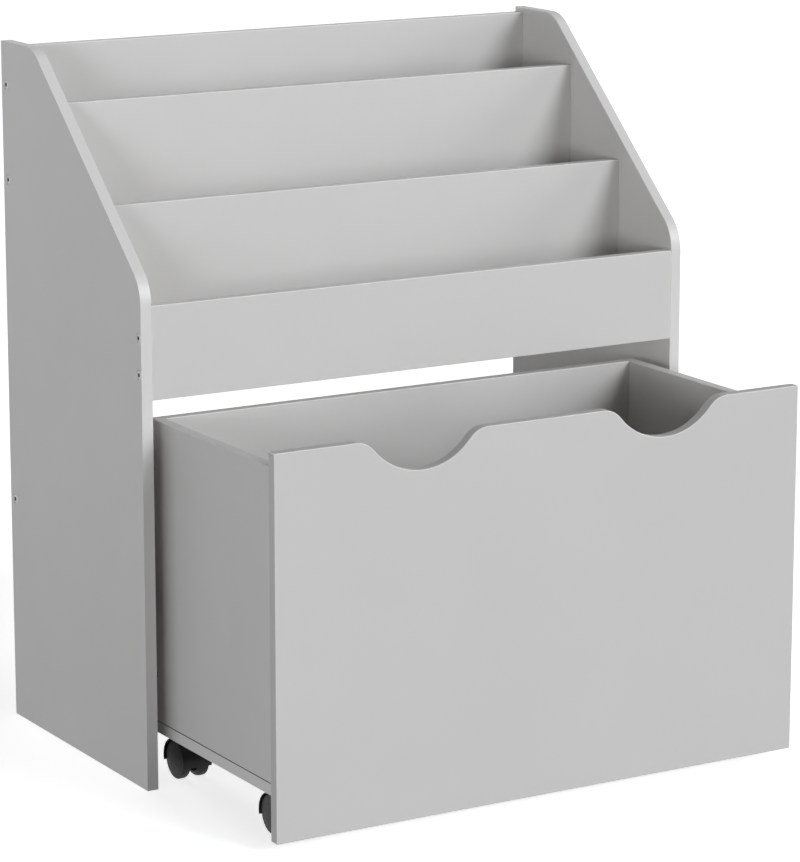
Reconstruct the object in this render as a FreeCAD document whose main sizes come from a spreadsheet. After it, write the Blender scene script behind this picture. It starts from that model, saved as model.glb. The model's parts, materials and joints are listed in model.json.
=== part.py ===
import FreeCAD
import Part
import Sketcher

import math
import os
import re

# Toy storage organizer: a bookcase frame with three stepped pockets, and a toy box on casters.
# Millimetres, +X right, +Y back, +Z up. The origin lies on the floor, midway between the side
# panels and midway between the box front at rest and the back edges of the panels.

doc = FreeCAD.newDocument("toy_storage_organizer")

SIZES = [
    # Frame
    ("board_thickness", "12", "every board"),
    ("frame_width", "640", "across the outer faces of the side panels"),
    ("frame_height", "724", "height of the side panels"),
    ("front_pocket_depth", "89", "clear depth of the front book pocket"),
    ("middle_pocket_depth", "84", "clear depth of the middle book pocket"),
    ("rear_pocket_depth", "87", "clear depth of the rear book pocket"),
    ("back_inset", "4", "back board to the back edges of the side panels"),
    ("back_drop_height", "5", "top of the back board below the top of the side panels"),
    ("top_land_length", "76", "flat top of a side panel, measured to the corner of the slope"),
    ("slope_foot_gap", "19", "front end of the slope of a side panel above the front board"),
    ("panel_radius", "42", "rounding of the two corners of the slope"),
    ("front_board_drop_height", "324", "underside of the front board below the top of the side panels"),
    ("front_board_height", "95", "height of the front board itself"),
    ("front_divider_drop_height", "145", "top of the front divider below the top of the side panels"),
    ("rear_divider_drop_height", "53", "top of the rear divider below the top of the side panels"),
    ("middle_floor_drop_height", "232", "underside of the middle pocket floor below that top"),
    ("rear_floor_drop_height", "184", "underside of the rear pocket floor below that top"),
    ("rail_height", "80", "height of the lower back rail itself"),
    ("rail_middle_height", "239", "middle of the lower back rail above the floor"),
    # Toy box
    ("box_reach_length", "237", "box front ahead of the side panels at rest"),
    ("box_side_gap", "6", "box front to each side panel"),
    ("box_top_gap", "7", "box front to the front board above it"),
    ("box_floor_gap", "10", "box front to the floor"),
    ("front_overhang_length", "12", "box front beyond each box side"),
    ("box_length", "269", "length of the box sides"),
    ("box_rim_drop_height", "20", "rim of the sides below the top of the box front"),
    ("scoop_offset", "140.3", "middle of a scoop from the middle of the box front"),
    ("scoop_width", "147", "width of a scoop at the top edge"),
    ("scoop_depth", "34.3", "depth of a scoop"),
    ("scoop_shoulder_radius", "26", "radius of the two shoulders of a scoop"),
    # Casters
    ("caster_height", "48", "floor to the underside of the box bottom"),
    ("caster_front_inset", "39", "front kingpins from the front end of the box bottom"),
    ("caster_back_inset", "27", "rear kingpins from the back end of the box bottom"),
    ("caster_side_inset", "27.5", "kingpins from the sides of the box bottom"),
    ("caster_trail_length", "6.5", "axle behind the kingpin"),
    ("wheel_diameter", "40", "caster wheel over its tread"),
    ("wheel_width", "11.3", "caster wheel along its axle, to the top of its crown"),
    ("wheel_crown_height", "1.2", "swell of the outer face of a wheel"),
    ("wheel_rim_thickness", "5.5", "wall of a wheel under its tread"),
    ("wheel_face_thickness", "2.5", "wall of the closed outer face of a wheel at its middle"),
    ("wheel_hub_diameter", "11", "diameter of the hub inside a wheel"),
    ("wheel_edge_radius", "1.5", "rounding between the tread and the outer face"),
    ("wheel_shoulder_radius", "4.5", "rounding between the tread and the open side"),
    ("rib_thickness", "1.6", "ribs inside a wheel"),
    ("rib_inset", "2", "ribs from the open side of a wheel"),
    ("rib_bite_depth", "0.8", "ribs into the walls round them"),
    ("web_width", "8.4", "central web of the hood between the wheels"),
    ("hood_thickness", "1.2", "wall of the hood over the wheels"),
    ("hood_gap", "0.8", "tread to the hood above it"),
    ("hood_skirt_height", "15", "height at which the two ends of the hood stop above the floor"),
    ("hood_lip_length", "0.5", "hood beyond the outer face of a wheel"),
    ("wheel_side_gap", "0.45", "wheel to the web beside it"),
    ("axle_boss_diameter", "16", "diameter of the round foot of the web at the axle"),
    ("swivel_boss_diameter", "16", "diameter of the neck of the hood round the kingpin"),
    ("plate_width", "38", "side of the square top plate"),
    ("plate_thickness", "2", "thickness of the top plate"),
    ("plate_radius", "5", "rounded corners of the top plate"),
    ("plate_pitch", "28", "distance between the screw holes of the top plate"),
    ("kingpin_diameter", "6", "kingpin inside the hood"),
    ("kingpin_length", "18", "kingpin below the top plate"),
    ("rivet_diameter", "5", "riveted end of the kingpin in the top plate"),
    ("axle_diameter", "5", "wheel axle"),
    ("axle_end_gap", "0.3", "end of the axle to the closed face of a wheel"),
    ("swivel_gap", "0.3", "neck of the hood to the top plate"),
    ("running_clearance", "0.05", "radial play of the kingpin and the wheel bores"),
    ("clip_height", "3", "retaining clip above the end of the kingpin"),
    ("clip_thickness", "1", "retaining clip along the kingpin"),
    ("clip_width", "0.8", "retaining clip across its ring"),
    ("clip_groove_depth", "0.5", "depth of the groove that the clip sits in"),
    ("clip_clearance", "0.3", "play of the clip in the hood"),
    # Fasteners
    ("screw_head_diameter", "10", "head of a connecting screw"),
    ("screw_shank_diameter", "5", "shank of a connecting screw"),
    ("screw_length", "40", "length of a connecting screw"),
    ("screw_point_length", "3", "tapered end of a connecting screw"),
    ("screw_crown_height", "0.8", "swell of the head of a connecting screw"),
    ("screw_sink_depth", "0.8", "rim of the head below the face of the board"),
    ("screw_socket_width", "4", "hexagon socket across its flats"),
    ("socket_depth", "2.5", "depth of the hexagon socket below the rim of the head"),
    ("fit_clearance", "0.1", "radial play of fasteners in their holes"),
    ("back_screw_inset", "40", "screws of the back board from its top and foot"),
    ("front_screw_foot_inset", "26", "lower screw of the front board above its foot"),
    ("front_screw_top_inset", "32", "upper screw of the front board below its top"),
    ("dowel_diameter", "6", "wooden dowel"),
    ("dowel_length", "24", "length of a wooden dowel"),
    ("dowel_seat_depth", "8", "dowel inside the board whose face it enters"),
    ("divider_dowel_inset", "45", "dowels of a divider from its top and foot"),
    ("floor_dowel_inset", "20", "dowels of a pocket floor from its long edges"),
    ("rail_dowel_inset", "14", "dowels of the lower back rail from its edges"),
    ("box_screw_inset", "50", "screws and cams of the box sides from their rim and foot"),
    ("bottom_screw_pitch", "60", "distance between the screws from below into a box side"),
    ("back_foot_offset", "120", "screws from below into the box back, from its middle"),
    ("front_dowel_offset", "150", "dowels of the box front, from its middle"),
    ("cam_diameter", "12", "cam disc"),
    ("cam_depth", "9", "cam disc inside the board"),
    ("cam_inset", "24", "cam disc from the end of its board"),
    ("cam_slot_width", "1.4", "screwdriver slot in a cam disc"),
    ("cam_bolt_diameter", "5", "cam bolt"),
    ("cam_bolt_seat_depth", "8", "cam bolt inside the box front"),
    ("cam_bolt_head_diameter", "6", "head of a cam bolt inside its disc"),
    ("cam_bolt_neck_diameter", "3.4", "neck behind the head of a cam bolt"),
    ("cam_head_length", "2.5", "head of a cam bolt along its axis"),
    ("wood_screw_head_diameter", "7", "head of a top plate screw"),
    ("wood_head_height", "1.8", "height of that head"),
    ("wood_screw_shank_diameter", "3.4", "shank of a top plate screw"),
    ("wood_screw_length", "12", "top plate screw below its head"),
    ("hole_end_clearance", "1", "blind holes beyond the end of their fastener"),
]

PLACES = [
    # Frame
    ("pocket_depths", "front_pocket_depth + middle_pocket_depth + rear_pocket_depth", "all three pockets"),
    ("frame_depth", "4 * board_thickness + pocket_depths + back_inset", "side panels front to back"),
    ("outer_half", "frame_width / 2", "outer face of the right side panel"),
    ("inner_half", "outer_half - board_thickness", "inner face of the right side panel"),
    ("panel_front", "(box_reach_length - frame_depth) / 2", "front edges of the side panels"),
    ("panel_back", "panel_front + frame_depth", "back edges of the side panels"),
    ("front_board_foot", "frame_height - front_board_drop_height", "underside of the front board"),
    ("front_board_top", "front_board_foot + front_board_height", "top of the front board"),
    ("slope_foot", "front_board_top + slope_foot_gap", "front end of the slope of a side panel"),
    ("front_divider_top", "frame_height - front_divider_drop_height", "top of the front divider"),
    ("rear_divider_top", "frame_height - rear_divider_drop_height", "top of the rear divider"),
    ("middle_floor_foot", "frame_height - middle_floor_drop_height", "underside of the middle pocket floor"),
    ("rear_floor_foot", "frame_height - rear_floor_drop_height", "underside of the rear pocket floor"),
    ("front_floor_start", "panel_front + board_thickness", "back face of the front board"),
    ("front_divider_front", "front_floor_start + front_pocket_depth", "front face of the front divider"),
    ("middle_floor_start", "front_divider_front + board_thickness", "back face of the front divider"),
    ("rear_divider_front", "middle_floor_start + middle_pocket_depth", "front face of the rear divider"),
    ("rear_floor_start", "rear_divider_front + board_thickness", "back face of the rear divider"),
    ("back_front", "rear_floor_start + rear_pocket_depth", "front face of the back board"),
    ("back_top", "frame_height - back_drop_height", "top of the back board"),
    ("front_board_middle", "panel_front + board_thickness / 2", "middle of the front board"),
    ("front_divider_middle", "front_divider_front + board_thickness / 2", "middle of the front divider"),
    ("rear_divider_middle", "rear_divider_front + board_thickness / 2", "middle of the rear divider"),
    ("back_middle", "back_front + board_thickness / 2", "middle of the back board"),
    ("rail_foot", "rail_middle_height - rail_height / 2", "underside of the lower back rail"),
    ("rail_top", "rail_middle_height + rail_height / 2", "top of the lower back rail"),
    # Toy box
    ("front_half", "inner_half - box_side_gap", "right edge of the box front"),
    ("front_top", "front_board_foot - box_top_gap", "top of the box front"),
    ("scoop_half", "scoop_width / 2", "middle of a scoop to the top of its shoulder"),
    ("scoop_radii", "(scoop_half ^ 2 / scoop_depth + scoop_depth) / 2", "both radii of a scoop together"),
    ("scoop_hollow_radius", "scoop_radii - scoop_shoulder_radius", "hollow that touches both shoulders"),
    ("box_face", "panel_front - box_reach_length", "outer face of the box front"),
    ("box_start", "box_face + board_thickness", "back face of the box front"),
    ("box_end", "box_start + box_length", "outer face of the box back"),
    ("box_middle", "(box_start + box_end) / 2", "middle of the box length"),
    ("box_half", "front_half - front_overhang_length", "outer face of the right box side"),
    ("box_inner", "box_half - board_thickness", "inner face of the right box side"),
    ("box_side_middle", "box_half - board_thickness / 2", "middle of the right box side's thickness"),
    ("box_back_middle", "box_end - board_thickness / 2", "middle of the box back's thickness"),
    ("rim", "front_top - box_rim_drop_height", "top of the box sides and back"),
    ("floor_top", "caster_height + board_thickness", "upper face of the box bottom"),
    ("floor_middle", "caster_height + board_thickness / 2", "middle of the box bottom's thickness"),
    ("low_site", "floor_top + box_screw_inset", "lower screws and cams of the box sides"),
    ("high_site", "rim - box_screw_inset", "upper screws and cams of the box sides"),
    # Casters, the heights above the floor and the rest from the kingpin
    ("wheel_radius", "wheel_diameter / 2", "axle above the floor"),
    ("well_radius", "wheel_radius + hood_gap", "inside of the hood"),
    ("hood_radius", "well_radius + hood_thickness", "outside of the hood"),
    ("web_half", "web_width / 2", "side face of the web"),
    ("wheel_start", "web_half + wheel_side_gap", "inner side of a wheel"),
    ("wheel_end", "wheel_start + wheel_width", "outer face of a wheel"),
    ("hood_half", "wheel_end + hood_lip_length", "side edge of the hood"),
    ("cup_floor", "wheel_width - wheel_face_thickness", "floor of the cup of a wheel"),
    ("cup_radius", "wheel_radius - wheel_rim_thickness", "inside of the cup of a wheel"),
    ("face_edge", "wheel_width - wheel_crown_height", "rim of the outer face of a wheel"),
    ("face_half", "wheel_radius - wheel_edge_radius", "outer face of a wheel, from its axle"),
    ("face_radius", "(face_half ^ 2 / wheel_crown_height + wheel_crown_height) / 2", "swell of that face"),
    ("axle_half", "wheel_end - wheel_face_thickness - axle_end_gap", "half length of the axle"),
    ("bore_radius", "axle_diameter / 2 + running_clearance", "bore of a wheel"),
    ("plate_foot", "caster_height - plate_thickness", "underside of the top plate"),
    ("neck_top", "plate_foot - swivel_gap", "top of the hood's neck"),
    ("kingpin_end", "plate_foot - kingpin_length", "lower end of the kingpin"),
    ("clip_foot", "kingpin_end + clip_height", "underside of the retaining clip"),
    ("clip_top", "clip_foot + clip_thickness", "upper face of the retaining clip"),
    ("clip_inner", "kingpin_diameter / 2 - clip_groove_depth", "groove in the kingpin"),
    ("clip_outer", "clip_inner + clip_width", "outside of the retaining clip"),
    ("kingpin_side", "box_half - caster_side_inset", "kingpins from the middle of the box"),
    ("kingpin_front", "box_start + caster_front_inset", "front kingpins"),
    ("kingpin_back", "box_end - caster_back_inset", "rear kingpins"),
    ("screw_bore", "screw_shank_diameter + 2 * fit_clearance", "holes for connecting screws"),
    ("dowel_bore", "dowel_diameter + 2 * fit_clearance", "holes for wooden dowels"),
    ("cam_bolt_bore", "cam_bolt_diameter + 2 * fit_clearance", "holes for cam bolts"),
    ("screw_reach", "screw_sink_depth + screw_length - board_thickness", "screws beyond their first board"),
    ("pilot_depth", "screw_reach + hole_end_clearance", "screw holes in board ends"),
    ("dowel_hole", "dowel_length - dowel_seat_depth + hole_end_clearance", "dowel holes in board ends"),
]

SHEET_OF = {}


def bound(formula, home=""):
    """The formula with each alias led by its sheet, apart from those of the sheet that holds it."""
    def lead(match):
        alias = match.group()
        sheet = SHEET_OF.get(alias, home)
        return alias if sheet == home else f"{sheet}.{alias}"
    return re.sub(r"[a-z][a-z_]+", lead, formula)


def fill(name, rows, start):
    sheet = doc.addObject("Spreadsheet::Sheet", name)
    for row, (alias, content, note) in enumerate(rows, start=1):
        sheet.set(f"A{row}", note)
        sheet.set(f"B{row}", start + bound(content, name))
        sheet.setAlias(f"B{row}", alias)
        SHEET_OF[alias] = name
    return sheet


fill("sizes", SIZES, "")
places = fill("places", PLACES, "=")
doc.recompute()


def value(formula):
    return float(places.evalExpression(bound(formula)))


def bind(thing, prop, formula):
    thing.setExpression(prop, bound(formula))


# Sketches: each outline is drawn at its size and then held there by named distances

ROLES = {"XY": "XY_Plane", "XZ": "XZ_Plane", "YZ": "YZ_Plane"}
NORMALS = {"XY": 1, "XZ": -1, "YZ": 1}


def origin_plane(body, plane):
    return next(f for f in body.Origin.OriginFeatures if f.Role == ROLES[plane])


def hold(sketch, kind, formula, *ends):
    number = sketch.addConstraint(Sketcher.Constraint(kind, *ends, value(formula)))
    bind(sketch, f"Constraints[{number}]", formula)


def hold_point(sketch, geometry, point, across, up):
    hold(sketch, "DistanceX", across, -1, 1, geometry, point)
    hold(sketch, "DistanceY", up, -1, 1, geometry, point)


def spot(across, up):
    return FreeCAD.Vector(value(across), value(up), 0)


def join(sketch, first, first_end, second, second_end, kind="Coincident"):
    sketch.addConstraint(Sketcher.Constraint(kind, first, first_end, second, second_end))


def arc_between(first, last, centre):
    """The shorter arc about the centre, and which of its ends lies at the first and the last spot."""
    starts = [math.atan2(end.y - centre.y, end.x - centre.x) for end in (first, last)]
    ring = Part.Circle(centre, FreeCAD.Vector(0, 0, 1), (first - centre).Length)
    if (starts[1] - starts[0]) % (2 * math.pi) < math.pi:
        return Part.ArcOfCircle(ring, starts[0], starts[1]), (1, 2)
    return Part.ArcOfCircle(ring, starts[1], starts[0]), (2, 1)


def centre_across(first, last, across):
    """Centre of an arc between two spots, given how far across it lies."""
    gap = (first.x - across) ** 2 - (last.x - across) ** 2 + first.y ** 2 - last.y ** 2
    return FreeCAD.Vector(across, gap / (2 * (first.y - last.y)), 0)


def outline(*corners):
    """Closed outline through corners given as (across, up) formulas.

    A third formula makes the run to the next corner an arc whose centre lies that far across.
    """
    def draw(sketch):
        spots = [spot(*corner[:2]) for corner in corners]
        runs = []
        for corner, here, there in zip(corners, spots, spots[1:] + spots[:1]):
            if len(corner) == 2:
                runs.append((sketch.addGeometry(Part.LineSegment(here, there)), (1, 2)))
            else:
                arc, ends = arc_between(here, there, centre_across(here, there, value(corner[2])))
                runs.append((sketch.addGeometry(arc), ends))
        for (run, ends), (after, after_ends) in zip(runs, runs[1:] + runs[:1]):
            join(sketch, run, ends[1], after, after_ends[0])
        for (run, ends), corner in zip(runs, corners):
            hold_point(sketch, run, ends[0], *corner[:2])
            if len(corner) == 3:
                hold(sketch, "DistanceX", corner[2], -1, 1, run, 3)
    return draw


def rectangle(left, right, low, high):
    return outline((left, low), (right, low), (right, high), (left, high))


def circles(centres, diameter):
    def draw(sketch):
        for centre in centres:
            ring = Part.Circle(spot(*centre), FreeCAD.Vector(0, 0, 1), value(diameter) / 2)
            number = sketch.addGeometry(ring)
            hold_point(sketch, number, 3, *centre)
            hold(sketch, "Diameter", diameter, number)
    return draw


# Features: all run from one named height to another along the normal of their origin plane


def make_body(label, across="0", along="0", up="0", turned=0):
    body = doc.addObject("PartDesign::Body", label)
    body.Label = label
    body.Placement.Rotation = FreeCAD.Rotation(FreeCAD.Vector(0, 0, 1), turned)
    for axis, formula in zip("xyz", (across, along, up)):
        bind(body, f".Placement.Base.{axis}", formula)
    return body


def make_sketch(body, name, plane, start, draw):
    sketch = body.newObject("Sketcher::SketchObject", f"{body.Label}_{name}_sketch")
    sketch.AttachmentSupport = (origin_plane(body, plane), [""])
    sketch.MapMode = "FlatFace"
    bind(sketch, ".AttachmentOffset.Base.z", f"{NORMALS[plane]} * ({start})")
    draw(sketch)
    return sketch


def add_feature(body, kind, name, profile=None):
    feature = body.newObject(f"PartDesign::{kind}", f"{body.Label}_{name}")
    if profile:
        feature.Profile = profile
    body.Tip = feature
    return feature


def pad(body, name, plane, start, end, draw):
    feature = add_feature(body, "Pad", name, make_sketch(body, name, plane, start, draw))
    bind(feature, "Length", f"({end}) - ({start})")
    feature.Reversed = NORMALS[plane] < 0
    return feature


def pocket(body, name, plane, start, end, draw):
    feature = add_feature(body, "Pocket", name, make_sketch(body, name, plane, start, draw))
    bind(feature, "Length", f"({end}) - ({start})")
    feature.Reversed = NORMALS[plane] > 0
    return feature


def turn(body, name, kind, axis, draw):
    """A profile in the XZ plane turned fully about that plane's X (H) or Z (V) axis."""
    sketch = make_sketch(body, name, "XZ", "0", draw)
    feature = add_feature(body, kind, name, sketch)
    feature.ReferenceAxis = (sketch, [f"{axis}_Axis"])
    feature.Angle = 360
    return feature


def mirror(body, *features):
    """The features once more on the other side of the YZ plane."""
    feature = body.newObject("PartDesign::Mirrored", f"{body.Label}_mirrored")
    feature.Originals = list(features)
    feature.MirrorPlane = (origin_plane(body, "YZ"), [""])
    body.Tip = feature
    return feature


def round_edges(body, name, radius, chosen):
    """Fillet the edges whose middle the function chosen accepts."""
    doc.recompute()
    base = body.Tip
    names = []
    for number, edge in enumerate(base.Shape.Edges, start=1):
        if chosen(edge):
            names.append(f"Edge{number}")
    feature = add_feature(body, "Fillet", name)
    feature.Base = (base, names)
    bind(feature, "Radius", radius)
    return feature


def near(first, second):
    return abs(first - second) < 1e-4


def countersink(body, name, plane, height, sites, reverse):
    """Through holes for connecting screws, with a cone for the head in the outer face."""
    draw = circles(sites, "screw_bore")
    sketch = make_sketch(body, name, plane, height, draw)
    doc.recompute()
    feature = add_feature(body, "Hole", name, sketch)
    feature.ThreadType = "None"
    feature.DepthType = "ThroughAll"
    feature.HoleCutType = "Countersink"
    feature.HoleCutCustomValues = True
    bind(feature, "Diameter", "screw_bore")
    bind(feature, "HoleCutDiameter", "screw_head_diameter + 2 * (fit_clearance + screw_sink_depth)")
    feature.HoleCutCountersinkAngle = 90
    feature.Reversed = reverse
    return feature


PARTS = []


def board(label, x_range, y_range, z_range):
    body = make_body(label)
    pad(body, "board", "XY", *z_range, rectangle(*x_range, *y_range))
    PARTS.append(body)
    return body


def group(label, master, sites):
    """One node of equal fasteners: a copy of the master at each (x, y, z, rotation)."""
    copies = []
    for x, y, z, rotation in sites:
        copy = doc.addObject("App::Link", f"{label}_copy")
        copy.LinkedObject = master
        copy.Placement = FreeCAD.Placement(FreeCAD.Vector(), rotation)
        for axis, formula in zip("xyz", (x, y, z)):
            bind(copy, f".Placement.Base.{axis}", formula)
        copies.append(copy)
    node = doc.addObject("Part::Compound", label)
    node.Label = label
    node.Links = copies
    PARTS.append(node)


def both(formula):
    """The formula on the left and on the right of the middle."""
    return (f"-({formula})", formula)


UPRIGHT = FreeCAD.Rotation()
UPSIDE_DOWN = FreeCAD.Rotation(FreeCAD.Vector(1, 0, 0), 180)
FACING_RIGHT = FreeCAD.Rotation(FreeCAD.Vector(0, 1, 0), 90)
FACING_LEFT = FreeCAD.Rotation(FreeCAD.Vector(0, 1, 0), -90)
FACING_BACK = FreeCAD.Rotation(FreeCAD.Vector(1, 0, 0), -90)

# Fastener places in the side panels, as (y, z)

SCREW_SITES = {
    "front_board": [
        ("front_board_middle", "front_board_foot + front_screw_foot_inset"),
        ("front_board_middle", "front_board_top - front_screw_top_inset"),
    ],
    "back_board": [
        ("back_middle", "rear_floor_foot + back_screw_inset"),
        ("back_middle", "back_top - back_screw_inset"),
    ],
    "lower_back_rail": [("back_middle", "rail_middle_height")],
}


def floor_dowels(start, depth, foot):
    height = f"{foot} + board_thickness / 2"
    return [(f"{start} + floor_dowel_inset", height), (f"{start} + {depth} - floor_dowel_inset", height)]


DOWEL_SITES = {
    "front_divider": [
        ("front_divider_middle", "front_board_foot + divider_dowel_inset"),
        ("front_divider_middle", "front_divider_top - divider_dowel_inset"),
    ],
    "rear_divider": [
        ("rear_divider_middle", "middle_floor_foot + divider_dowel_inset"),
        ("rear_divider_middle", "rear_divider_top - divider_dowel_inset"),
    ],
    "front_pocket_floor": floor_dowels("front_floor_start", "front_pocket_depth", "front_board_foot"),
    "middle_pocket_floor": floor_dowels("middle_floor_start", "middle_pocket_depth", "middle_floor_foot"),
    "rear_pocket_floor": floor_dowels("rear_floor_start", "rear_pocket_depth", "rear_floor_foot"),
    "lower_back_rail": [
        ("back_middle", "rail_foot + rail_dowel_inset"),
        ("back_middle", "rail_top - rail_dowel_inset"),
    ],
}

ALL_SCREWS = [site for sites in SCREW_SITES.values() for site in sites]
ALL_DOWELS = [site for sites in DOWEL_SITES.values() for site in sites]

# Side panels: a flat top, a slope and an upright front edge, with rounded corners between them


def side_panel(label, side):
    body = make_body(label)
    start, end = ("inner_half", "outer_half") if side > 0 else ("-outer_half", "-inner_half")
    shape = outline(
        ("panel_back", "0"),
        ("panel_back", "frame_height"),
        ("panel_back - top_land_length", "frame_height"),
        ("panel_front", "slope_foot"),
        ("panel_front", "0"),
    )
    pad(body, "panel", "YZ", start, end, shape)
    corners = [("panel_back - top_land_length", "frame_height"), ("panel_front", "slope_foot")]
    targets = [(value(y), value(z)) for y, z in corners]

    def at_slope(edge):
        middle = edge.CenterOfMass
        return any(near(middle.y, y) and near(middle.z, z) for y, z in targets)

    round_edges(body, "slope_corners", "panel_radius", at_slope)
    seat = f"{side} * inner_half"
    deep = f"{side} * (inner_half + dowel_seat_depth)"
    low, high = (seat, deep) if side > 0 else (deep, seat)
    pocket(body, "dowels", "YZ", low, high, circles(ALL_DOWELS, "dowel_bore"))
    countersink(body, "screws", "YZ", f"{side} * outer_half", ALL_SCREWS, side < 0)
    PARTS.append(body)


side_panel("left_side_panel", -1)
side_panel("right_side_panel", 1)

# Boards between the side panels, with the holes for their fasteners in both ends

ACROSS = ("-inner_half", "inner_half")


def end_holes(body, label):
    made = []
    if label in SCREW_SITES:
        draw = circles(SCREW_SITES[label], "screw_bore")
        made.append(pocket(body, "screws", "YZ", "-inner_half", "pilot_depth - inner_half", draw))
    if label in DOWEL_SITES:
        draw = circles(DOWEL_SITES[label], "dowel_bore")
        made.append(pocket(body, "dowels", "YZ", "-inner_half", "dowel_hole - inner_half", draw))
    mirror(body, *made)


def cross_board(label, front, back, foot, top):
    end_holes(board(label, ACROSS, (front, back), (foot, top)), label)


def upright(label, front, foot, top):
    cross_board(label, front, f"{front} + board_thickness", foot, top)


def pocket_floor(label, start, depth, foot):
    cross_board(label, start, f"{start} + {depth}", foot, f"{foot} + board_thickness")


upright("front_board", "panel_front", "front_board_foot", "front_board_top")
upright("front_divider", "front_divider_front", "front_board_foot", "front_divider_top")
upright("rear_divider", "rear_divider_front", "middle_floor_foot", "rear_divider_top")
upright("back_board", "back_front", "rear_floor_foot", "back_top")
upright("lower_back_rail", "back_front", "rail_foot", "rail_top")
pocket_floor("front_pocket_floor", "front_floor_start", "front_pocket_depth", "front_board_foot")
pocket_floor("middle_pocket_floor", "middle_floor_start", "middle_pocket_depth", "middle_floor_foot")
pocket_floor("rear_pocket_floor", "rear_floor_start", "rear_pocket_depth", "rear_floor_foot")

# Box front, with a scoop cut into each half of its top edge


def scoop(sketch):
    """Hollow between two shoulders, each arc touching the next."""
    lean = 2 * math.atan2(value("scoop_depth"), value("scoop_half"))
    quarter = math.pi / 2

    def arc(across, up, radius, start, end):
        ring = Part.Circle(spot(across, up), FreeCAD.Vector(0, 0, 1), value(radius))
        return sketch.addGeometry(Part.ArcOfCircle(ring, start, end))

    left_centre = ("scoop_offset - scoop_half", "front_top - scoop_shoulder_radius")
    right_centre = ("scoop_offset + scoop_half", "front_top - scoop_shoulder_radius")
    hollow_up = "front_top - scoop_depth + scoop_hollow_radius"
    left = arc(*left_centre, "scoop_shoulder_radius", quarter - lean, quarter)
    hollow = arc("scoop_offset", hollow_up, "scoop_hollow_radius", -quarter - lean, lean - quarter)
    right = arc(*right_centre, "scoop_shoulder_radius", quarter, quarter + lean)
    lid = sketch.addGeometry(Part.LineSegment(sketch.getPoint(right, 1), sketch.getPoint(left, 2)))
    join(sketch, left, 1, hollow, 1, "Tangent")
    join(sketch, hollow, 2, right, 2, "Tangent")
    join(sketch, right, 1, lid, 1)
    join(sketch, lid, 2, left, 2)
    for shoulder, top_end, centre in ((left, 2, left_centre), (right, 1, right_centre)):
        hold(sketch, "Radius", "scoop_shoulder_radius", shoulder)
        hold_point(sketch, shoulder, 3, *centre)
        join(sketch, shoulder, top_end, shoulder, 3, "Vertical")
    hold(sketch, "DistanceY", hollow_up, -1, 1, hollow, 3)


CAM_SITES = [(x, z) for x in both("box_side_middle") for z in ("low_site", "high_site")]
FRONT_DOWELS = [(x, "floor_middle") for x in both("front_dowel_offset")]

box_front = make_body("box_front")
pad(box_front, "board", "XZ", "box_face", "box_start",
    rectangle("-front_half", "front_half", "box_floor_gap", "front_top"))
right_scoop = pocket(box_front, "scoop", "XZ", "box_face", "box_start", scoop)
mirror(box_front, right_scoop)
pocket(box_front, "cam_bolts", "XZ", "box_start - cam_bolt_seat_depth - hole_end_clearance", "box_start",
       circles(CAM_SITES, "cam_bolt_bore"))
pocket(box_front, "dowels", "XZ", "box_start - dowel_seat_depth - hole_end_clearance", "box_start",
       circles(FRONT_DOWELS, "dowel_bore"))
PARTS.append(box_front)

# Box sides: cams near the front end, screws through the back end and from below

BOX_ALONG = ("box_start", "box_end")
BOX_UPRIGHT = ("floor_top", "rim")
SIDE_HEIGHTS = ("low_site", "high_site")
BOTTOM_ALONG = ("box_middle - bottom_screw_pitch", "box_middle", "box_middle + bottom_screw_pitch")


def box_side(label, side):
    near_face, far_face = ("box_inner", "box_half") if side > 0 else ("-box_half", "-box_inner")
    body = board(label, (near_face, far_face), BOX_ALONG, BOX_UPRIGHT)
    cams = circles([("box_start + cam_inset", z) for z in SIDE_HEIGHTS], "cam_diameter + 2 * fit_clearance")
    if side > 0:
        pocket(body, "cams", "YZ", "box_inner", "box_inner + cam_depth", cams)
    else:
        pocket(body, "cams", "YZ", "-box_inner - cam_depth", "-box_inner", cams)
    middle = f"{side} * box_side_middle"
    bolts = circles([(middle, z) for z in SIDE_HEIGHTS], "cam_bolt_bore")
    pocket(body, "cam_bolts", "XZ", "box_start", "box_start + cam_inset", bolts)
    pilots = circles([(middle, y) for y in BOTTOM_ALONG], "screw_bore")
    pocket(body, "pilots", "XY", "floor_top", "floor_top + pilot_depth", pilots)
    sites = [("box_back_middle", z) for z in SIDE_HEIGHTS]
    countersink(body, "screws", "YZ", f"{side} * box_half", sites, side < 0)


box_side("box_left_side", -1)
box_side("box_right_side", 1)

# Box back, between the sides

BACK_FOOT = [(x, "box_back_middle") for x in both("back_foot_offset")]

BACK_ALONG = ("box_end - board_thickness", "box_end")

box_back = board("box_back", ("-box_inner", "box_inner"), BACK_ALONG, BOX_UPRIGHT)
back_pilots = pocket(box_back, "screws", "YZ", "-box_inner", "pilot_depth - box_inner",
                     circles([("box_back_middle", z) for z in SIDE_HEIGHTS], "screw_bore"))
mirror(box_back, back_pilots)
pocket(box_back, "pilots", "XY", "floor_top", "floor_top + pilot_depth",
       circles(BACK_FOOT, "screw_bore"))

# Box bottom, under the sides and the back, which carries the four casters

KINGPINS = {
    "front_left": ("-kingpin_side", "kingpin_front"),
    "front_right": ("kingpin_side", "kingpin_front"),
    "rear_left": ("-kingpin_side", "kingpin_back"),
    "rear_right": ("kingpin_side", "kingpin_back"),
}
PLATE_HOLES = [(x, y) for x in both("plate_pitch / 2") for y in both("plate_pitch / 2")]
PLATE_SCREWS = [(f"{x} + {dx}", f"{y} + {dy}") for x, y in KINGPINS.values() for dx, dy in PLATE_HOLES]
BOTTOM_SCREWS = [(x, y) for x in both("box_side_middle") for y in BOTTOM_ALONG] + BACK_FOOT

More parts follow.
